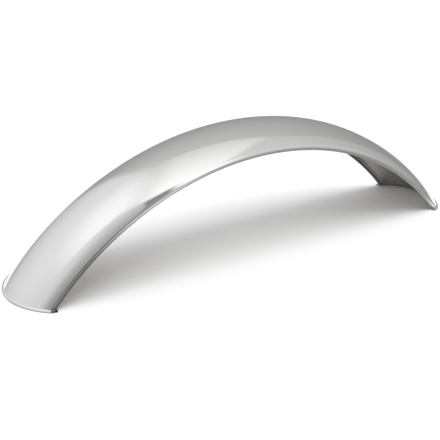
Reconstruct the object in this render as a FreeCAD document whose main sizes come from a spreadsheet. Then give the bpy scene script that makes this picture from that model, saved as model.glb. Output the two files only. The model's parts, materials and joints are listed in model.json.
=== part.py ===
import FreeCAD, Part
import math
import os
import Sketcher

Vector = FreeCAD.Vector

# Sizes in millimetres, one cell of the sheet each
SIZES = {
    # outside of the crown, measured from the wheel's axle
    "crown_radius": 352.0,
    # height of the crown above the ground that both ends stand on
    "stand_height": 139.0,
    # across the outside of the two side walls
    "guard_width": 100.0,
    # round of the crown across the guard
    "section_radius": 74.5,
    # round between the crown and the side wall
    "shoulder_radius": 5.0,
    # straight part of the side wall above the rolled edge
    "wall_height": 0.5,
    # thickness of the sheet
    "sheet_gauge": 1.2,
    # outside of the rolled edge
    "curl_width": 4.8,
    # round by which the sheet turns out into the lip at both ends
    "lip_fillet": 3.0,
    # how far the lip stands out beside the side wall
    "lip_reach": 3.4,
    # how far the lip stands out in front of the crown
    "lip_nose": 1.0,
}

# Wall kept below the rolled edge while the lip is shaped, cut away afterwards
SPARE_WALL = 15.0

# Depth of the ground under the lip's mouth
GROUND_DEPTH = 10.0

# Height of the shoulder's centre above the crown's centre, for the sheet's expressions
CENTRE_RISE = (
    "sqrt((Sizes.section_radius - Sizes.shoulder_radius)^2"
    " - (Sizes.guard_width / 2 - Sizes.shoulder_radius)^2)"
)

# Distance from the axle to the lower end of the side wall
EDGE_RADIUS = (
    "(Sizes.crown_radius - Sizes.section_radius + " + CENTRE_RISE + " - Sizes.wall_height)"
)

# Height of the axle, below the ground that the guard stands on
AXLE_HEIGHT = "(Sizes.stand_height - Sizes.crown_radius)"

# Bends of the rolled edge in degrees, and the bends where its turn starts and ends
CURL_STEP = 30
CURL_START = 3
CURL_END = 12

doc = FreeCAD.newDocument("MotorcycleMudguard")


def fill_sheet():
    """Writes every size into the sheet under its own alias."""
    sheet = doc.addObject("Spreadsheet::Sheet", "Sizes")
    for row, (alias, value) in enumerate(SIZES.items(), start=1):
        sheet.set("A%d" % row, alias)
        sheet.set("B%d" % row, str(value))
        sheet.setAlias("B%d" % row, alias)
    doc.recompute()
    return sheet


def origin_plane(body, role):
    """Finds one of a body's own origin planes."""
    for feature in body.Origin.OriginFeatures:
        if feature.Role == role:
            return feature
    raise ValueError("no plane " + role)


def upright_sketch(body, name):
    """Starts a sketch in the plane across the guard at the top of the arch."""
    sketch = body.newObject("Sketcher::SketchObject", name)
    sketch.AttachmentSupport = [(origin_plane(body, "YZ_Plane"), "")]
    sketch.MapMode = "FlatFace"
    return sketch


def bind(sketch, index, name, expression):
    """Names a dimension of a sketch and ties it to the sheet."""
    sketch.renameConstraint(index, name)
    sketch.setExpression("Constraints." + name, expression)


def add_axle(sketch):
    """Draws the wheel's axle as a construction line, the axis of the arch."""
    drop = SIZES["crown_radius"] - SIZES["stand_height"]
    half = SIZES["guard_width"] / 2
    line = Part.LineSegment(Vector(-half, -drop, 0), Vector(half, -drop, 0))
    axle = sketch.addGeometry(line, True)
    sketch.addConstraint(Sketcher.Constraint("Symmetric", axle, 1, axle, 2, -2))
    width = sketch.addConstraint(Sketcher.Constraint("DistanceX", axle, 1, axle, 2, 2 * half))
    bind(sketch, width, "axle_width", "Sizes.guard_width")
    depth = sketch.addConstraint(Sketcher.Constraint("DistanceY", axle, 1, -1, 1, drop))
    bind(sketch, depth, "axle_drop", "Sizes.crown_radius - Sizes.stand_height")


def revolve(body, sketch, name):
    """Turns a section half way round the axle, evenly to both sides of the top."""
    arch = body.newObject("PartDesign::Revolution", name)
    arch.Profile = (sketch, [""])
    arch.ReferenceAxis = (sketch, ["Axis0"])
    arch.Midplane = True
    arch.Angle = 180
    return arch


def arc(centre_y, centre_z, radius, start, end):
    """Makes an arc of a section from two angles in radians."""
    circle = Part.Circle(Vector(centre_y, centre_z, 0), Vector(0, 0, 1), radius)
    return Part.ArcOfCircle(circle, start, end)


def arched_form(name, side, side_size, crown, crown_size):
    """Builds a filled arch whose outside lies beyond the guard's outside.

    side and crown are expressions for the distance at the side walls and at the
    crown, and side_size and crown_size are the same distances as numbers.
    """
    body = doc.addObject("PartDesign::Body", name)
    sketch = upright_sketch(body, name + "_section")
    half = SIZES["guard_width"] / 2
    cross = SIZES["section_radius"]
    shoulder = SIZES["shoulder_radius"]
    rise = math.sqrt((cross - shoulder) ** 2 - (half - shoulder) ** 2)
    turn = math.atan2(rise, half - shoulder)
    centre = SIZES["stand_height"] - cross + crown_size - side_size
    start = centre + rise
    wall = SIZES["wall_height"] + SPARE_WALL
    out = half + side_size

    right_wall = sketch.addGeometry(
        Part.LineSegment(Vector(out, start - wall, 0), Vector(out, start, 0))
    )
    right_shoulder = sketch.addGeometry(
        arc(half - shoulder, start, shoulder + side_size, 0, turn)
    )
    top = sketch.addGeometry(arc(0, centre, cross + side_size, turn, math.pi - turn))
    left_shoulder = sketch.addGeometry(
        arc(shoulder - half, start, shoulder + side_size, math.pi - turn, math.pi)
    )
    left_wall = sketch.addGeometry(
        Part.LineSegment(Vector(-out, start, 0), Vector(-out, start - wall, 0))
    )
    base = sketch.addGeometry(
        Part.LineSegment(Vector(-out, start - wall, 0), Vector(out, start - wall, 0))
    )

    sketch.addConstraint(Sketcher.Constraint("Tangent", right_wall, 2, right_shoulder, 1))
    sketch.addConstraint(Sketcher.Constraint("Tangent", right_shoulder, 2, top, 1))
    sketch.addConstraint(Sketcher.Constraint("Tangent", top, 2, left_shoulder, 1))
    sketch.addConstraint(Sketcher.Constraint("Tangent", left_shoulder, 2, left_wall, 1))
    sketch.addConstraint(Sketcher.Constraint("Coincident", left_wall, 2, base, 1))
    sketch.addConstraint(Sketcher.Constraint("Coincident", base, 2, right_wall, 1))
    sketch.addConstraint(Sketcher.Constraint("Vertical", right_wall))
    sketch.addConstraint(Sketcher.Constraint("Vertical", left_wall))
    sketch.addConstraint(Sketcher.Constraint("Symmetric", left_wall, 2, right_wall, 1, -2))
    sketch.addConstraint(Sketcher.Constraint("PointOnObject", top, 3, -2))
    sketch.addConstraint(Sketcher.Constraint("Equal", right_shoulder, left_shoulder))

    height = sketch.addConstraint(Sketcher.Constraint("DistanceY", -1, 1, top, 3, centre))
    bind(sketch, height, "centre_height",
         "Sizes.stand_height - Sizes.section_radius + (" + crown + ") - (" + side + ")")
    round_top = sketch.addConstraint(Sketcher.Constraint("Radius", top, cross + side_size))
    bind(sketch, round_top, "cross_radius", "Sizes.section_radius + (" + side + ")")
    round_side = sketch.addConstraint(
        Sketcher.Constraint("Radius", right_shoulder, shoulder + side_size)
    )
    bind(sketch, round_side, "side_radius", "Sizes.shoulder_radius + (" + side + ")")
    width = sketch.addConstraint(Sketcher.Constraint("DistanceX", base, 1, base, 2, 2 * out))
    bind(sketch, width, "form_width", "Sizes.guard_width + 2 * (" + side + ")")
    length = sketch.addConstraint(
        Sketcher.Constraint("DistanceY", right_wall, 1, right_wall, 2, wall)
    )
    bind(sketch, length, "form_wall", "Sizes.wall_height + %g" % SPARE_WALL)

    add_axle(sketch)
    revolve(body, sketch, name + "_arch")
    return body


def curl_point(sketch, line, number, shrink, shrink_size):
    """Ties the start of one line of the rolled edge to its place on the turn."""
    angle = math.radians(number * CURL_STEP)
    size = SIZES["curl_width"] / 2 - shrink_size
    place = SIZES["guard_width"] / 2 - SIZES["curl_width"] / 2 + size * math.cos(angle)
    height = curl_centre_height() + size * math.sin(angle)
    reach = "(Sizes.curl_width / 2 - " + shrink + ")"
    turned = "(%d deg)" % (number * CURL_STEP)
    across = sketch.addConstraint(Sketcher.Constraint("DistanceX", -1, 1, line, 1, place))
    bind(sketch, across, "across_%d" % line,
         "Sizes.guard_width / 2 - Sizes.curl_width / 2 + " + reach + " * cos" + turned)
    up = sketch.addConstraint(Sketcher.Constraint("DistanceY", -1, 1, line, 1, height))
    bind(sketch, up, "up_%d" % line,
         AXLE_HEIGHT + " + " + EDGE_RADIUS + " + " + reach + " * sin" + turned)


def curl_centre_height():
    """Works out how high the middle of the rolled edge lies at the top of the arch."""
    cross = SIZES["section_radius"]
    shoulder = SIZES["shoulder_radius"]
    half = SIZES["guard_width"] / 2
    rise = math.sqrt((cross - shoulder) ** 2 - (half - shoulder) ** 2)
    return SIZES["stand_height"] - cross + rise - SIZES["wall_height"]


def curl_body():
    """Builds the sheet rolled inward along one side edge, bent in short steps."""
    body = doc.addObject("PartDesign::Body", "curl")
    sketch = upright_sketch(body, "curl_section")
    outside = [(number, "0", 0.0) for number in range(CURL_START, CURL_END + 1)]
    inside = [
        (number, "Sizes.sheet_gauge", SIZES["sheet_gauge"])
        for number in range(CURL_END, CURL_START - 1, -1)
    ]
    corners = outside + inside
    middle = SIZES["guard_width"] / 2 - SIZES["curl_width"] / 2
    centre = curl_centre_height()
    starts = []
    for number, shrink, shrink_size in corners:
        angle = math.radians(number * CURL_STEP)
        size = SIZES["curl_width"] / 2 - shrink_size
        across = middle + size * math.cos(angle)
        up = centre + size * math.sin(angle)
        starts.append(Vector(across, up, 0))
    for index, start in enumerate(starts):
        following = (index + 1) % len(starts)
        sketch.addGeometry(Part.LineSegment(start, starts[following]))
    for index in range(len(starts)):
        following = (index + 1) % len(starts)
        sketch.addConstraint(Sketcher.Constraint("Coincident", index, 2, following, 1))
    for index, (number, shrink, shrink_size) in enumerate(corners):
        curl_point(sketch, index, number, shrink, shrink_size)
    add_axle(sketch)
    revolve(body, sketch, "curl_arch")
    return body


def wide_box(name, height, bottom):
    """Makes a box that covers the whole guard from above, bound to the sheet."""
    box = doc.addObject("Part::Box", name)
    box.setExpression("Length", "4 * Sizes.crown_radius")
    box.setExpression("Width", "4 * Sizes.guard_width")
    box.setExpression("Height", height)
    box.setExpression("Placement.Base.x", "-2 * Sizes.crown_radius")
    box.setExpression("Placement.Base.y", "-2 * Sizes.guard_width")
    box.setExpression("Placement.Base.z", bottom)
    return box


def wheel_cylinder(name, radius):
    """Makes a cylinder around the axle, wider than the guard."""
    cylinder = doc.addObject("Part::Cylinder", name)
    cylinder.setExpression("Radius", radius)
    cylinder.setExpression("Height", "4 * Sizes.guard_width")
    cylinder.Placement.Rotation = FreeCAD.Rotation(Vector(1, 0, 0), -90)
    cylinder.setExpression("Placement.Base.y", "-2 * Sizes.guard_width")
    cylinder.setExpression("Placement.Base.z", AXLE_HEIGHT)
    return cylinder


def boolean(kind, name, base, tool):
    """Joins two objects by one of the boolean features."""
    result = doc.addObject(kind, name)
    result.Base = base
    result.Tool = tool
    result.Refine = True
    return result


def foot_edges(shape, form, level):
    """Names the edges where an arched form meets the flat sheet at its feet.

    Args: the joined shape, the form alone and the height of the flat sheet.
    Returns: the edges' names, outside the form's inner round only.
    """
    axle = SIZES["stand_height"] - SIZES["crown_radius"]
    skin = form.Shells[0]
    inner_round = min(
        math.hypot(vertex.X, vertex.Z - axle) for vertex in form.Vertexes
    )
    names = []
    for number, edge in enumerate(shape.Edges, start=1):
        box = edge.BoundBox
        if abs(box.ZMin - level) > 0.001 or abs(box.ZMax - level) > 0.001:
            continue
        middle = edge.valueAt((edge.FirstParameter + edge.LastParameter) / 2)
        if math.hypot(middle.x, middle.z - axle) < inner_round + 0.01:
            continue
        if skin.distToShape(Part.Vertex(middle))[0] < 0.001:
            names.append("Edge%d" % number)
    return names


def flare(name, blank, form, level, radius):
    """Rounds the foot of a form into the flat sheet that it stands on."""
    doc.recompute()
    body = doc.addObject("PartDesign::Body", name)
    body.BaseFeature = blank
    doc.recompute()
    fillet = body.newObject("PartDesign::Fillet", name + "_round")
    fillet.Base = (body.Group[0], foot_edges(blank.Shape, form.Shape, level))
    fillet.setExpression("Radius", radius)
    doc.recompute()
    return body


fill_sheet()

# Space above the ground, sheet of the lip on the ground, and ground under it
above = wide_box("above_ground", "Sizes.crown_radius", "0")
lip_layer = wide_box("lip_layer", "Sizes.sheet_gauge", "0")
below = wide_box("below_ground", "%g" % GROUND_DEPTH, "-%g" % GROUND_DEPTH)

# Arched forms: the guard's outside, its inside, room for the lip and the lip's rim
lip_room = "Sizes.lip_reach + 2 * Sizes.lip_fillet + Sizes.sheet_gauge"
lip_room_size = SIZES["lip_reach"] + 2 * SIZES["lip_fillet"] + SIZES["sheet_gauge"]
gauge = SIZES["sheet_gauge"]
floor_lean = "sin(acos((Sizes.crown_radius - Sizes.stand_height) / Sizes.crown_radius))"
nose_rise = "Sizes.lip_nose * " + floor_lean
lean = math.acos(1 - SIZES["stand_height"] / SIZES["crown_radius"])
nose_rise_size = SIZES["lip_nose"] * math.sin(lean)

outside = arched_form("outside_form", "0", 0.0, "0", 0.0)
inside = arched_form("inside_form", "-Sizes.sheet_gauge", -gauge, "-Sizes.sheet_gauge", -gauge)
room = arched_form("lip_room", lip_room, lip_room_size, lip_room, lip_room_size)
rim = arched_form("rim_form", "Sizes.lip_reach", SIZES["lip_reach"], nose_rise, nose_rise_size)

# Outside of the guard on its lip, rounded where the sheet turns out
standing = boolean("Part::Common", "standing_outside", outside, above)
lips = boolean("Part::Common", "lip_plates", room, lip_layer)
outer_blank = boolean("Part::Fuse", "outer_blank", standing, lips)
outer_flare = flare("outer_flare", outer_blank, standing, gauge, "Sizes.lip_fillet")

# Hollow under the sheet, opened the same way by the sheet's thickness
hollow = boolean("Part::Common", "standing_inside", inside, above)
mouth = boolean("Part::Common", "mouth", room, below)
inner_blank = boolean("Part::Fuse", "inner_blank", hollow, mouth)
inner_flare = flare("inner_flare", inner_blank, hollow, 0.0,
                    "Sizes.lip_fillet + Sizes.sheet_gauge")

# Sheet left between the two, trimmed to the rim of the lip and to the side edges
sheet_arch = boolean("Part::Cut", "sheet_arch", outer_flare, inner_flare)
rimmed = boolean("Part::Common", "rimmed_arch", sheet_arch, rim)
wheel_room = wheel_cylinder("wheel_room", EDGE_RADIUS + " - Sizes.curl_width / 2")
trimmed = boolean("Part::Cut", "trimmed_arch", rimmed, wheel_room)

# Side walls ended where the rolled edge starts, down to the lip
curl_room = wheel_cylinder("curl_room", EDGE_RADIUS)
over_lip = wide_box("over_lip", "Sizes.crown_radius", "Sizes.sheet_gauge + Sizes.lip_fillet")
wall_room = boolean("Part::Common", "wall_room", curl_room, over_lip)
open_arch = boolean("Part::Cut", "open_arch", trimmed, wall_room)

# Rolled edges along both sides, ended on the ground
right_curl = boolean("Part::Common", "right_curl", curl_body(), above)
left_curl = doc.addObject("Part::Mirroring", "left_curl")
left_curl.Source = right_curl
left_curl.Normal = Vector(0, 1, 0)

mudguard = doc.addObject("Part::MultiFuse", "mudguard")
mudguard.Shapes = [open_arch, right_curl, left_curl]
mudguard.Refine = True
mudguard.Label = "mudguard"
doc.recompute()

for item in doc.Objects:
    if "Invalid" in item.State or "Error" in item.State:
        raise RuntimeError(item.Name + " did not build")
if mudguard.Shape.isNull() or not mudguard.Shape.isValid():
    raise RuntimeError("the mudguard's shape is not valid")
if len(mudguard.Shape.Solids) != 1:
    raise RuntimeError("the mudguard is not one piece")

os.makedirs("parts", exist_ok=True)
mudguard.Shape.exportStep("parts/%s.step" % mudguard.Label)
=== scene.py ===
import json
import logging
import math
from dataclasses import dataclass, field
from enum import Enum
from typing import List, Tuple, Union

import bpy
from mathutils import Matrix, Vector

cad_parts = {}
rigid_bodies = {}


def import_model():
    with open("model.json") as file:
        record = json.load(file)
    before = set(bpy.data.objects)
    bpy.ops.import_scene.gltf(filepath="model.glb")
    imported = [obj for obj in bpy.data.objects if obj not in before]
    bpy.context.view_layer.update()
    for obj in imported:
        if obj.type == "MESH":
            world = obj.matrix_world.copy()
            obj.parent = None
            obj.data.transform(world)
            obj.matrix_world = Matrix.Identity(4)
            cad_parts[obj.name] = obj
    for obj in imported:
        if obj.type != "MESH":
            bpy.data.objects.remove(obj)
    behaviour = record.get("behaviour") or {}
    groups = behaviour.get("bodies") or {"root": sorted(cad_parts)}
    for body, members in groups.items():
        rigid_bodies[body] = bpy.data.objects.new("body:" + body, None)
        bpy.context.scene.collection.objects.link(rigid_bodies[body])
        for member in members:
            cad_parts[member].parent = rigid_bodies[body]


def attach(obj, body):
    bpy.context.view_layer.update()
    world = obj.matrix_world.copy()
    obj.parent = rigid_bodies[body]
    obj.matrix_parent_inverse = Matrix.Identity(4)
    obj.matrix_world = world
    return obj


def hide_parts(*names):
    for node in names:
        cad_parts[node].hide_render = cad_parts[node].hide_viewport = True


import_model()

LOG = logging.getLogger("mudguard")
Colour = Tuple[float, float, float, float]
Triple = Tuple[float, float, float]
Tree = bpy.types.NodeTree
Socket = bpy.types.NodeSocket
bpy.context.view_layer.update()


class Side(Enum):
    """Which face of the sheet a finish covers, by its number in the skin's materials."""

    OUTSIDE = 0
    INSIDE = 1


class Zone(Enum):
    """Which part of the cross section a strip of the sheet belongs to."""

    SHEET = "sheet"
    ROLL = "roll"


@dataclass(frozen=True)
class Strip:
    """One lengthwise line of the sheet, by its place in the cross section.

    across and radius place it beside the middle and above the axle, lean is the
    angle of its outward normal from straight up, all at the top of the arch.
    """

    across: float
    radius: float
    lean: float
    zone: Zone


@dataclass(frozen=True)
class MetalFinish:
    """Look of one face of the bright metal sheet."""

    name: str
    side: Side
    colour: Colour
    edge_tint: Colour
    roughness: float
    streak_depth: float
    cloud_depth: float
    ripple: float
    # Share of colour that the rolled edges and cut rim keep under their painted shade.
    roll_painted_shade: float


OUTSIDE_FINISH = MetalFinish(
    name="mirror_polished_outside",
    side=Side.OUTSIDE,
    colour=(0.775, 0.772, 0.761, 1.0),
    edge_tint=(1.0, 1.0, 1.0, 1.0),
    roughness=0.055,
    streak_depth=0.02,
    cloud_depth=0.02,
    ripple=0.02,
    roll_painted_shade=0.42,
)

INSIDE_FINISH = MetalFinish(
    name="plain_plated_inside",
    side=Side.INSIDE,
    colour=(0.572, 0.548, 0.520, 1.0),
    edge_tint=(0.5, 0.5, 0.5, 1.0),
    roughness=0.24,
    streak_depth=0.08,
    cloud_depth=0.08,
    ripple=0.03,
    roll_painted_shade=0.42,
)


def link(tree: Tree, source: Socket, target: Socket) -> None:
    """Joins two sockets of a node tree."""
    tree.links.new(source, target)


def math_node(tree: Tree, kind: str, *values: Union[float, Socket]) -> Socket:
    """Adds one sum to a node tree.

    Args:
        tree: the node tree to work in.
        kind: the operation's name.
        values: numbers, or sockets to join.

    Returns:
        The socket that gives the result.
    """
    node = tree.nodes.new("ShaderNodeMath")
    node.operation = kind
    for index, value in enumerate(values):
        if isinstance(value, Socket):
            link(tree, value, node.inputs[index])
        else:
            node.inputs[index].default_value = value
    return node.outputs[0]


def ramp_node(tree: Tree, value: Socket, low: float, high: float) -> Socket:
    """Adds a smooth step from 0 at low to 1 at high.

    Args:
        tree: the node tree to work in.
        value: the socket that the step reads.
        low: where the step starts.
        high: where the step ends.

    Returns:
        The socket that gives the step.
    """
    node = tree.nodes.new("ShaderNodeMapRange")
    node.interpolation_type = "SMOOTHSTEP"
    node.clamp = True
    link(tree, value, node.inputs["Value"])
    node.inputs["From Min"].default_value = min(low, high)
    node.inputs["From Max"].default_value = max(low, high)
    node.inputs["To Min"].default_value = 0.0 if low < high else 1.0
    node.inputs["To Max"].default_value = 1.0 if low < high else 0.0
    return node.outputs["Result"]


def noise_node(tree: Tree, place: Socket, scale: float, detail: float) -> Socket:
    """Adds a noise that spreads around 0.

    Args:
        tree: the node tree to work in.
        place: the socket with the coordinates.
        scale: waves to the metre.
        detail: finer layers on top.

    Returns:
        The socket that gives the noise, from about -0.5 to 0.5.
    """
    node = tree.nodes.new("ShaderNodeTexNoise")
    node.inputs["Scale"].default_value = scale
    node.inputs["Detail"].default_value = detail
    link(tree, place, node.inputs["Vector"])
    return math_node(tree, "SUBTRACT", node.outputs["Fac"], 0.5)


@dataclass
class PolishMarks:
    """Node group with the fine marks that polishing leaves along the sheet.

    The rolled edges, which start at edge_radius from the axle, and the cut rim of the sheet,
    up to rim_height, are made rougher, and their colour is darkened as painted shade. Towards
    one end, between two given turns, the edges get darker still from more painted shade.
    """

    axle_height: float
    edge_radius: float
    rim_height: float
    fade: float = 0.0012
    rim_fade: float = 0.0003
    end_shade_reach: float = 0.0023
    end_shade_fade: float = 0.00168
    end_shade_loss: float = 0.76
    end_shade_from: float = -0.40
    end_shade_to: float = -0.72
    dull_roughness: float = 0.22
    least_roughness: float = 0.02
    streak_scale: float = 1500.0
    streak_squeeze: float = 0.012
    cloud_scale: float = 22.0
    cloud_tint: float = 0.04
    fine_layers: float = 3.0
    ripple_scale: float = 14.0
    ripple_layers: float = 1.0
    name: str = "polish_marks"

    def add_sockets(self, tree: Tree) -> None:
        """Gives the group its named inputs and outputs.

        Args:
            tree: the empty group.
        """
        for name in ("Base Roughness", "Streak Depth", "Cloud Depth", "Roll Painted Shade"):
            tree.interface.new_socket(name, in_out="INPUT", socket_type="NodeSocketFloat")
        for name in ("Roughness", "Ripple", "Tint"):
            tree.interface.new_socket(name, in_out="OUTPUT", socket_type="NodeSocketFloat")

    def build(self) -> bpy.types.ShaderNodeTree:
        """Builds the group.

        Returns:
            The group, with the surface's roughness, ripple and tint as outputs; the tint carries
            the painted shade.
        """
        tree = bpy.data.node_groups.new(self.name, "ShaderNodeTree")
        self.add_sockets(tree)
        given = tree.nodes.new("NodeGroupInput")
        made = tree.nodes.new("NodeGroupOutput")

        place = tree.nodes.new("ShaderNodeTexCoord").outputs["Object"]
        split = tree.nodes.new("ShaderNodeSeparateXYZ")
        link(tree, place, split.inputs[0])
        rise = math_node(tree, "SUBTRACT", split.outputs["Z"], self.axle_height)
        turn = math_node(tree, "ARCTAN2", split.outputs["X"], rise)
        out = math_node(tree, "SQRT", math_node(
            tree, "ADD",
            math_node(tree, "MULTIPLY", split.outputs["X"], split.outputs["X"]),
            math_node(tree, "MULTIPLY", rise, rise),
        ))
        along = tree.nodes.new("ShaderNodeCombineXYZ")
        link(tree, math_node(tree, "MULTIPLY", turn, self.streak_squeeze), along.inputs["X"])
        link(tree, split.outputs["Y"], along.inputs["Y"])
        link(tree, out, along.inputs["Z"])

        streaks = noise_node(tree, along.outputs[0], self.streak_scale, self.fine_layers)
        clouds = noise_node(tree, place, self.cloud_scale, self.fine_layers)
        total = math_node(
            tree, "ADD", given.outputs["Base Roughness"],
            math_node(tree, "MULTIPLY", streaks, given.outputs["Streak Depth"]),
        )
        total = math_node(
            tree, "ADD", total, math_node(tree, "MULTIPLY", clouds, given.outputs["Cloud Depth"])
        )
        # Painted shade: the rolled edges and the cut rim get a darker colour, standing in for the
        # shadowed floor they mirror and the contact shadow at the rim; they are also made rougher.
        roll = ramp_node(tree, out, self.edge_radius + self.fade, self.edge_radius)
        rim = ramp_node(
            tree, split.outputs["Z"], self.rim_height, self.rim_height - self.rim_fade
        )
        dull_and_shade = math_node(tree, "MAXIMUM", roll, rim)
        total = math_node(
            tree, "ADD", total, math_node(tree, "MULTIPLY", dull_and_shade, self.dull_roughness)
        )
        total = math_node(tree, "MAXIMUM", total, self.least_roughness)
        link(tree, total, made.inputs["Roughness"])
        ripple = noise_node(tree, place, self.ripple_scale, self.ripple_layers)
        link(tree, ripple, made.inputs["Ripple"])

        tint = math_node(
            tree, "ADD", math_node(tree, "MULTIPLY", clouds, self.cloud_tint), 1.0
        )
        # Colour kept where the painted shade on the edges and rim darkens it.
        loss = math_node(tree, "SUBTRACT", 1.0, given.outputs["Roll Painted Shade"])
        kept = math_node(tree, "SUBTRACT", 1.0, math_node(tree, "MULTIPLY", dull_and_shade, loss))
        # Painted shade: the edges towards one end get darker still, standing in for the shadowed
        # floor that they mirror there.
        reach = self.edge_radius + self.end_shade_reach
        end_shade = math_node(
            tree, "MULTIPLY", ramp_node(tree, turn, self.end_shade_from, self.end_shade_to),
            ramp_node(tree, out, reach + self.end_shade_fade, reach),
        )
        end_unshaded = math_node(
            tree, "SUBTRACT", 1.0, math_node(tree, "MULTIPLY", end_shade, self.end_shade_loss)
        )
        kept = math_node(tree, "MULTIPLY", kept, end_unshaded)
        link(tree, math_node(tree, "MULTIPLY", tint, kept), made.inputs["Tint"])
        return tree


@dataclass
class SheetMaterial:
    """Material of one face of the sheet."""

    finish: MetalFinish
    marks: bpy.types.ShaderNodeTree
    ripple_height: float = 0.001

    def build(self) -> bpy.types.Material:
        """Builds the material.

        Returns:
            The material, with its colour, roughness and ripple from the nodes, and painted shade
            on its edges.
        """
        material = bpy.data.materials.new(self.finish.name)
        material.use_nodes = True
        tree = material.node_tree
        shader = tree.nodes["Principled BSDF"]
        shader.inputs["Metallic"].default_value = 1.0
        shader.inputs["Specular Tint"].default_value = self.finish.edge_tint
        marks = tree.nodes.new("ShaderNodeGroup")
        marks.node_tree = self.marks
        marks.inputs["Base Roughness"].default_value = self.finish.roughness
        marks.inputs["Streak Depth"].default_value = self.finish.streak_depth
        marks.inputs["Cloud Depth"].default_value = self.finish.cloud_depth
        # Colour that the painted shade leaves on the rolled edges and rim.
        marks.inputs["Roll Painted Shade"].default_value = self.finish.roll_painted_shade
        link(tree, marks.outputs["Roughness"], shader.inputs["Roughness"])

        tint = tree.nodes.new("ShaderNodeMix")
        tint.data_type = "RGBA"
        tint.blend_type = "MULTIPLY"
        tint.inputs["Factor"].default_value = 1.0
        tint.inputs["A"].default_value = self.finish.colour
        link(tree, marks.outputs["Tint"], tint.inputs["B"])
        link(tree, tint.outputs["Result"], shader.inputs["Base Color"])

        bump = tree.nodes.new("ShaderNodeBump")
        bump.inputs["Strength"].default_value = self.finish.ripple
        bump.inputs["Distance"].default_value = self.ripple_height
        link(tree, marks.outputs["Ripple"], bump.inputs["Height"])
        link(tree, bump.outputs["Normal"], shader.inputs["Normal"])
        return material


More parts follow.
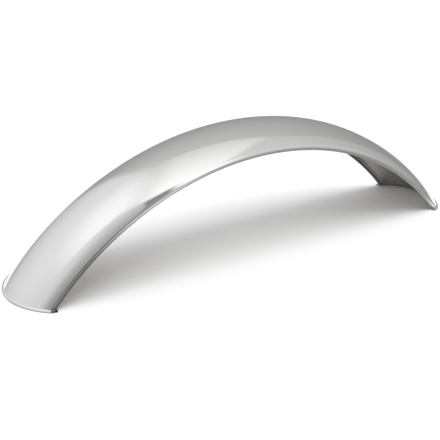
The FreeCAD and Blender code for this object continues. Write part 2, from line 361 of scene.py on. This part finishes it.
@dataclass
class Mudguard:
    """The pressed sheet: arched crown, shoulders, rolled side edges and flared end lips."""

    crown_radius: float = 0.352
    stand_height: float = 0.139
    width: float = 0.100
    section_radius: float = 0.0745
    shoulder_radius: float = 0.005
    wall_height: float = 0.0011
    gauge: float = 0.0012
    roll_width: float = 0.0036
    lip_fillet: float = 0.003
    lip_reach: float = 0.0034
    lip_nose: float = 0.001
    crown_strips: int = 28
    shoulder_strips: int = 10
    roll_strips: int = 18
    arch_steps: int = 110
    lip_steps: int = 8
    rim_break: float = 0.0002
    rim_segments: int = 2
    roll_turn: float = 1.5 * math.pi
    roll_foot: float = 0.7
    seed_size: float = 0.0001
    least_flat: float = 0.0001
    merge_distance: float = 0.00001
    sharp_angle: float = math.radians(60.0)
    smooth_angle: float = math.radians(40.0)
    node: str = "mudguard"
    strips: List[Strip] = field(default_factory=list)

    @property
    def axle(self) -> float:
        """Height of the wheel's axle, below the floor."""
        return self.stand_height - self.crown_radius

    @property
    def inner(self) -> float:
        """Distance of the shoulders' centres from the middle."""
        return self.width / 2 - self.shoulder_radius

    @property
    def rise(self) -> float:
        """Height of the shoulders' centres above the centre of the crown's section."""
        return math.sqrt((self.section_radius - self.shoulder_radius) ** 2 - self.inner ** 2)

    @property
    def edge_radius(self) -> float:
        """Distance from the axle at which the side wall ends and the rolled edge starts."""
        return self.crown_radius - self.section_radius + self.rise - self.wall_height

    @property
    def lean_at_floor(self) -> float:
        """How far round the arch the crown meets the floor."""
        return math.acos(-self.axle / self.crown_radius)

    def lay_out(self) -> None:
        """Places the strips of one half of the cross section, from the crown to the roll."""
        half = self.width / 2
        bend = math.pi / 2 - math.atan2(self.rise, self.inner)
        centre = self.crown_radius - self.section_radius
        for index in range(self.crown_strips + 1):
            lean = bend * index / self.crown_strips
            self.strips.append(Strip(
                self.section_radius * math.sin(lean),
                centre + self.section_radius * math.cos(lean), lean, Zone.SHEET,
            ))
        for index in range(1, self.shoulder_strips + 1):
            lean = bend + (math.pi / 2 - bend) * index / self.shoulder_strips
            self.strips.append(Strip(
                self.inner + self.shoulder_radius * math.sin(lean),
                centre + self.rise + self.shoulder_radius * math.cos(lean), lean, Zone.SHEET,
            ))
        edge = self.edge_radius
        self.strips.append(Strip(half, edge, math.pi / 2, Zone.SHEET))
        roll = self.roll_width / 2
        for index in range(1, self.roll_strips + 1):
            lean = math.pi / 2 + self.roll_turn * index / self.roll_strips
            self.strips.append(Strip(
                half - roll + roll * math.sin(lean), edge + roll * math.cos(lean), lean, Zone.ROLL,
            ))

    def draw_strip(self, strip: Strip) -> None:
        """Draws one strip as a chain of edges, from the top of the arch to its end.

        Args:
            strip: the strip to draw.
        """
        top = Vector((0.0, strip.across, self.axle + strip.radius))
        bpy.ops.mesh.select_all(action="DESELECT")
        bpy.ops.mesh.primitive_plane_add(size=self.seed_size, location=top)
        bpy.ops.mesh.merge(type="CENTER")
        if strip.zone is Zone.SHEET:
            self.draw_sheet_strip(strip)
        else:
            self.draw_roll_strip(strip)

    def spin_chain(self, steps: int, angle: float, centre: Vector, axis: Vector) -> None:
        """Extends the selected end of a chain round an axis, turning by the right-hand rule."""
        bpy.ops.mesh.spin(steps=steps, angle=-angle, center=centre, axis=axis)

    def draw_sheet_strip(self, strip: Strip) -> None:
        """Draws a strip that ends in the flared lip.

        Args:
            strip: the strip, whose first point is selected.
        """
        axle = Vector((0.0, 0.0, self.axle))
        up, side = math.cos(strip.lean), math.sin(strip.lean)
        reach = strip.radius + self.lip_fillet * up
        height = self.gauge + self.lip_fillet
        turn = math.acos((height - self.axle) / reach)
        self.spin_chain(self.arch_steps, turn, axle, Vector((0.0, 1.0, 0.0)))

        normal = Vector((up * math.sin(turn), side, up * math.cos(turn)))
        centre = Vector((reach * math.sin(turn), strip.across + self.lip_fillet * side, height))
        bend = math.acos(normal.z)
        axis = Vector((normal.y, -normal.x, 0.0)).normalized()
        nose = self.lip_nose * math.sin(self.lean_at_floor)
        offset = self.lip_reach + (nose - self.lip_reach) * up
        rim = offset / math.sin(bend)
        run = self.lip_fillet * math.tan(bend / 2)
        flat = max(rim - run, 0.0)
        short = math.asin(min(max(run - rim, 0.0) / self.lip_fillet, 1.0))
        self.spin_chain(self.lip_steps, bend - short, centre, axis)
        out = Vector((normal.x, normal.y, 0.0)).normalized()
        bpy.ops.mesh.extrude_region_move(
            TRANSFORM_OT_translate={"value": out * max(flat, self.least_flat)}
        )

    def draw_roll_strip(self, strip: Strip) -> None:
        """Draws a strip of the rolled edge, which runs straight on to the floor.

        Args:
            strip: the strip, whose first point is selected.
        """
        axle = Vector((0.0, 0.0, self.axle))
        axis = Vector((0.0, 1.0, 0.0))
        up = math.cos(strip.lean)
        foot = max(up, 0.0) * self.gauge * self.roll_foot
        end = math.acos((foot - self.axle) / strip.radius)
        lip = math.acos((self.gauge + self.lip_fillet - self.axle) / strip.radius)
        self.spin_chain(self.arch_steps, lip, axle, axis)
        self.spin_chain(self.lip_steps + 1, end - lip, axle, axis)

    def draw_quarter(self) -> bpy.types.Object:
        """Draws the strips of one quarter of the guard and bridges them to a sheet.

        Returns:
            The quarter, as one open surface.
        """
        bpy.ops.object.select_all(action="DESELECT")
        bpy.ops.mesh.primitive_plane_add(size=self.seed_size)
        quarter = bpy.context.object
        quarter.name = self.node + "_skin"
        bpy.ops.object.mode_set(mode="EDIT")
        bpy.context.tool_settings.mesh_select_mode = (True, False, False)
        bpy.ops.mesh.select_all(action="SELECT")
        bpy.ops.mesh.delete(type="VERT")
        for number, strip in enumerate(self.strips):
            self.draw_strip(strip)
            bpy.ops.mesh.select_linked()
            group = quarter.vertex_groups.new(name="strip_%d" % number)
            quarter.vertex_groups.active_index = group.index
            bpy.ops.object.vertex_group_assign()
        for number in range(len(self.strips) - 1):
            bpy.ops.mesh.select_all(action="DESELECT")
            for index in (number, number + 1):
                quarter.vertex_groups.active_index = index
                bpy.ops.object.vertex_group_select()
            bpy.ops.mesh.bridge_edge_loops()
        bpy.ops.object.mode_set(mode="OBJECT")
        quarter.vertex_groups.clear()
        return quarter

    def complete(self, skin: bpy.types.Object) -> None:
        """Mirrors the quarter to the whole guard, closes its seams and turns it outwards.

        Args:
            skin: the quarter, which becomes the whole open surface.
        """
        mirror = skin.modifiers.new("other_quarters", "MIRROR")
        mirror.use_axis = (True, True, False)
        mirror.merge_threshold = self.merge_distance
        bpy.ops.object.modifier_apply(modifier=mirror.name)
        bpy.ops.object.mode_set(mode="EDIT")
        bpy.ops.mesh.select_all(action="SELECT")
        bpy.ops.mesh.remove_doubles(threshold=self.merge_distance)
        bpy.ops.mesh.normals_make_consistent(inside=False)
        bpy.ops.object.mode_set(mode="OBJECT")
        top = max(skin.data.polygons, key=lambda face: face.center.z)
        if top.normal.z < 0.0:
            bpy.ops.object.mode_set(mode="EDIT")
            bpy.ops.mesh.select_all(action="SELECT")
            bpy.ops.mesh.flip_normals()
            bpy.ops.object.mode_set(mode="OBJECT")

    def thicken(self, skin: bpy.types.Object) -> None:
        """Gives the surface the sheet's thickness and breaks its sharp rims.

        Args:
            skin: the whole open surface.
        """
        wall = skin.modifiers.new("gauge", "SOLIDIFY")
        wall.thickness = self.gauge
        wall.offset = -1.0
        wall.use_rim = True
        wall.material_offset = Side.INSIDE.value
        bpy.ops.object.modifier_apply(modifier=wall.name)
        edge = skin.modifiers.new("broken_edges", "BEVEL")
        edge.limit_method = "ANGLE"
        edge.angle_limit = self.sharp_angle
        edge.width = self.rim_break
        edge.segments = self.rim_segments
        edge.use_clamp_overlap = True
        bpy.ops.object.modifier_apply(modifier=edge.name)
        bpy.ops.object.shade_smooth_by_angle(angle=self.smooth_angle)

    def build(self) -> bpy.types.Object:
        """Builds the guard's skin.

        Returns:
            The finished piece, with its place in its mesh.
        """
        self.lay_out()
        skin = self.draw_quarter()
        bpy.ops.object.select_all(action="DESELECT")
        skin.select_set(True)
        bpy.context.view_layer.objects.active = skin
        for _ in Side:
            skin.data.materials.append(None)
        self.complete(skin)
        self.thicken(skin)
        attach(skin, "root")
        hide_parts(self.node)
        return skin

    def dress(self, skin: bpy.types.Object) -> None:
        """Puts the bright finish on the outside and the plainer one on the inside.

        Args:
            skin: the finished piece.
        """
        marks = PolishMarks(self.axle, self.edge_radius, self.gauge).build()
        for finish in (OUTSIDE_FINISH, INSIDE_FINISH):
            skin.data.materials[finish.side.value] = SheetMaterial(finish, marks).build()


@dataclass(frozen=True)
class Edge:
    """One straight edge of a studio panel, as a plane that cuts the ball of directions.

    The panel lies where direction times normal is above distance, and soft is how
    gradually it ends there.
    """

    normal: Triple
    distance: float
    soft: float


@dataclass(frozen=True)
class Panel:
    """One soft panel of the studio, far from the guard.

    The light changes evenly across it, by slope times the direction looked at.
    """

    name: str
    light: float
    slope: Triple
    edges: Tuple[Edge, ...] = ()
    tint: Triple = (1.0, 1.0, 1.0)


ROOM = Panel("room", 0.704, (-0.09, -0.27, 0.30))

PANELS = (
    Panel("wall_far_right", 0.516, (-0.02, 0.20, 0.41), (
        Edge((1.0, 0.0, -0.40), 0.950, 0.305),
    )),
    Panel("wall_back_left", 0.485, (-0.31, 0.31, 0.57), (
        Edge((-1.0, 0.0, -0.22), -0.130, 0.065),
        Edge((0.0, 1.0, 0.0), -0.270, 0.105),
    ), (0.993, 1.0, 1.012)),
    Panel("wall_back_right", 0.595, (-0.14, -0.10, 0.33), (
        Edge((0.6, 1.0, 0.0), 0.510, 0.025),
        Edge((0.0, 1.0, 0.3), 0.360, 0.035),
        Edge((1.0, 0.0, 0.22), 0.120, 0.065),
    )),
    Panel("wall_front_left", 0.478, (0.20, 0.0, 0.31), (
        Edge((0.0, -1.0, 0.0), 0.286, 0.145),
        Edge((-1.0, 0.0, -0.37), -0.139, 0.017),
    )),
    Panel("ceiling_left", -0.167, (-0.96, 0.05, 1.43), (
        Edge((0.0, 0.0, 1.0), 0.757, 0.160),
        Edge((0.18, 1.0, 0.0), -0.196, 0.046),
        Edge((-1.0, 0.33, 0.0), 0.200, 0.125),
    ), (0.993, 1.0, 1.012)),
    Panel("ceiling", 0.929, (-0.36, -0.77, 0.48), (
        Edge((-0.6, -1.0, 0.0), -0.510, 0.025),
        Edge((-1.0, 0.55, 0.0), -0.488, 0.055),
        Edge((1.0, -0.33, 0.0), -0.166, 0.217),
        Edge((0.459, 1.0, 0.0), -0.355, 0.020),
    )),
    Panel("front_gap", 0.389, (0.03, -0.11, -0.04), (
        Edge((-0.459, -1.0, 0.0), 0.386, 0.020),
        Edge((1.0, 0.0, 0.37), 0.137, 0.016),
        Edge((-1.0, 0.0, -0.37), -0.322, 0.032),
    ), (0.95, 1.01, 1.02)),
    Panel("front_strip", 1.56, (-0.05, 0.02, 0.11), (
        Edge((-0.459, -1.0, 0.0), 0.382, 0.020),
        Edge((1.0, 0.0, 0.37), 0.352, 0.040),
        Edge((-1.0, 0.0, -0.07), -0.455, 0.075),
    )),
    Panel("below_table", 0.726, (-0.266, -0.076, 0.0), (
        Edge((0.0, 0.0, -1.0), 0.005, 0.015),
    )),
)


@dataclass
class Studio:
    """The room: soft panels all round, and a plain white table."""

    table_corners: Tuple[Tuple[float, float], ...] = (
        (-0.404, -0.232), (-0.141, -0.495), (0.465, 2.151), (1.485, 1.131),
    )
    table_colour: Colour = (0.99, 0.99, 0.99, 1.0)
    level: float = 0.80
    lamp_size: float = 10.1
    lamp_power: float = 740.0
    lamp_place: Triple = (0.0, -3.96, 12.0)
    room: Panel = ROOM
    panels: Tuple[Panel, ...] = PANELS

    def build_table(self) -> bpy.types.Object:
        """Lays the table that the guard stands on.

        Returns:
            The table top, which is part of the stage.
        """
        bpy.ops.object.select_all(action="DESELECT")
        bpy.ops.mesh.primitive_plane_add(size=1.0)
        table = bpy.context.object
        table.name = "studio_table"
        for vertex, corner in zip(table.data.vertices, self.table_corners):
            vertex.co = (corner[0], corner[1], 0.0)
        material = bpy.data.materials.new("matt_table")
        material.use_nodes = True
        shader = material.node_tree.nodes["Principled BSDF"]
        shader.inputs["Base Color"].default_value = self.table_colour
        shader.inputs["Roughness"].default_value = 1.0
        shader.inputs["Specular IOR Level"].default_value = 0.0
        table.data.materials.append(material)
        return table

    def build_lamp(self) -> bpy.types.Object:
        """Hangs the wide soft lamp that gives the table its light and the guard its shadow.

        Returns:
            The lamp, which the metal doesn't mirror.
        """
        bpy.ops.object.light_add(type="AREA", location=self.lamp_place)
        lamp = bpy.context.object
        lamp.name = "studio_lamp"
        lamp.data.size = self.lamp_size
        lamp.data.energy = self.lamp_power
        lamp.visible_glossy = False
        return lamp

    def along(self, tree: Tree, direction: Socket, normal: Triple) -> Socket:
        """Measures how far a direction goes along a normal.

        Args:
            tree: the world's node tree.
            direction: the socket with the direction looked at.
            normal: the normal.

        Returns:
            The socket that gives the product of the two.
        """
        dot = tree.nodes.new("ShaderNodeVectorMath")
        dot.operation = "DOT_PRODUCT"
        link(tree, direction, dot.inputs[0])
        dot.inputs[1].default_value = normal
        return dot.outputs["Value"]

    def panel_mask(self, tree: Tree, direction: Socket, panel: Panel) -> Socket:
        """Works out where a panel lies.

        Args:
            tree: the world's node tree.
            direction: the socket with the direction looked at.
            panel: the panel.

        Returns:
            A socket that is 1 on the panel and 0 beside it.
        """
        mask = None
        for edge in panel.edges:
            reach = self.along(tree, direction, edge.normal)
            step = ramp_node(tree, reach, edge.distance - edge.soft, edge.distance + edge.soft)
            mask = step if mask is None else math_node(tree, "MULTIPLY", mask, step)
        return mask

    def panel_colour(self, tree: Tree, direction: Socket, panel: Panel) -> Socket:
        """Works out the light that comes from a panel.

        Args:
            tree: the world's node tree.
            direction: the socket with the direction looked at.
            panel: the panel.

        Returns:
            The socket that gives the light as a colour.
        """
        light = math_node(tree, "ADD", self.along(tree, direction, panel.slope), panel.light)
        colour = tree.nodes.new("ShaderNodeVectorMath")
        colour.operation = "SCALE"
        colour.inputs[0].default_value = panel.tint
        link(tree, light, colour.inputs["Scale"])
        return colour.outputs["Vector"]

    def build_room(self) -> None:
        """Lights the room by its panels."""
        world = bpy.data.worlds.new("studio_room")
        bpy.context.scene.world = world
        world.use_nodes = True
        tree = world.node_tree
        direction = tree.nodes.new("ShaderNodeTexCoord").outputs["Generated"]
        light = self.panel_colour(tree, direction, self.room)
        for panel in self.panels:
            mix = tree.nodes.new("ShaderNodeMix")
            mix.data_type = "RGBA"
            link(tree, self.panel_mask(tree, direction, panel), mix.inputs["Factor"])
            link(tree, light, mix.inputs["A"])
            link(tree, self.panel_colour(tree, direction, panel), mix.inputs["B"])
            light = mix.outputs["Result"]
        link(tree, light, tree.nodes["Background"].inputs["Color"])
        tree.nodes["Background"].inputs["Strength"].default_value = self.level


@dataclass
class Camera:
    """The camera, in metres and degrees, at the angle of the photograph."""

    azimuth: float = -32.555
    elevation: float = 22.7335
    roll: float = 0.3938
    distance: float = 1.02321
    target: Triple = (-0.029947, 0.0, 0.0293442)
    lens: float = 75.3489
    sensor: float = 36.0
    near_clip: float = 0.01

    def build(self) -> bpy.types.Object:
        """Places the camera and makes it the scene's own.

        Returns:
            The camera.
        """
        turn, lift = math.radians(self.azimuth), math.radians(self.elevation)
        back = Vector((
            math.sin(turn) * math.cos(lift), -math.cos(turn) * math.cos(lift), math.sin(lift),
        ))
        right = Vector((math.cos(turn), math.sin(turn), 0.0))
        up = back.cross(right)
        lean = math.radians(self.roll)
        across = right * math.cos(lean) + up * math.sin(lean)
        above = up * math.cos(lean) - right * math.sin(lean)
        pose = Matrix((across, above, back)).transposed().to_4x4()
        pose.translation = Vector(self.target) + back * self.distance
        data = bpy.data.cameras.new("studio_camera")
        data.sensor_width = self.sensor
        data.lens = self.lens
        data.clip_start = self.near_clip
        camera = bpy.data.objects.new("studio_camera", data)
        bpy.context.scene.collection.objects.link(camera)
        camera.matrix_world = pose
        bpy.context.scene.camera = camera
        return camera


def main() -> None:
    """Builds the guard, its studio and the camera."""
    logging.basicConfig(level=logging.INFO, format="%(message)s")
    scene = bpy.context.scene
    scene.view_settings.view_transform = "Standard"
    guard = Mudguard()
    skin = guard.build()
    guard.dress(skin)
    skin.data.calc_loop_triangles()
    LOG.info("%s: %d triangles", skin.name, len(skin.data.loop_triangles))
    studio = Studio()
    table = studio.build_table()
    lamp = studio.build_lamp()
    studio.build_room()
    LOG.info("%s laid, %s hung, room of %d panels", table.name, lamp.name, len(studio.panels))
    camera = Camera().build()
    LOG.info("%s placed", camera.name)


if __name__ == "__main__":
    main()
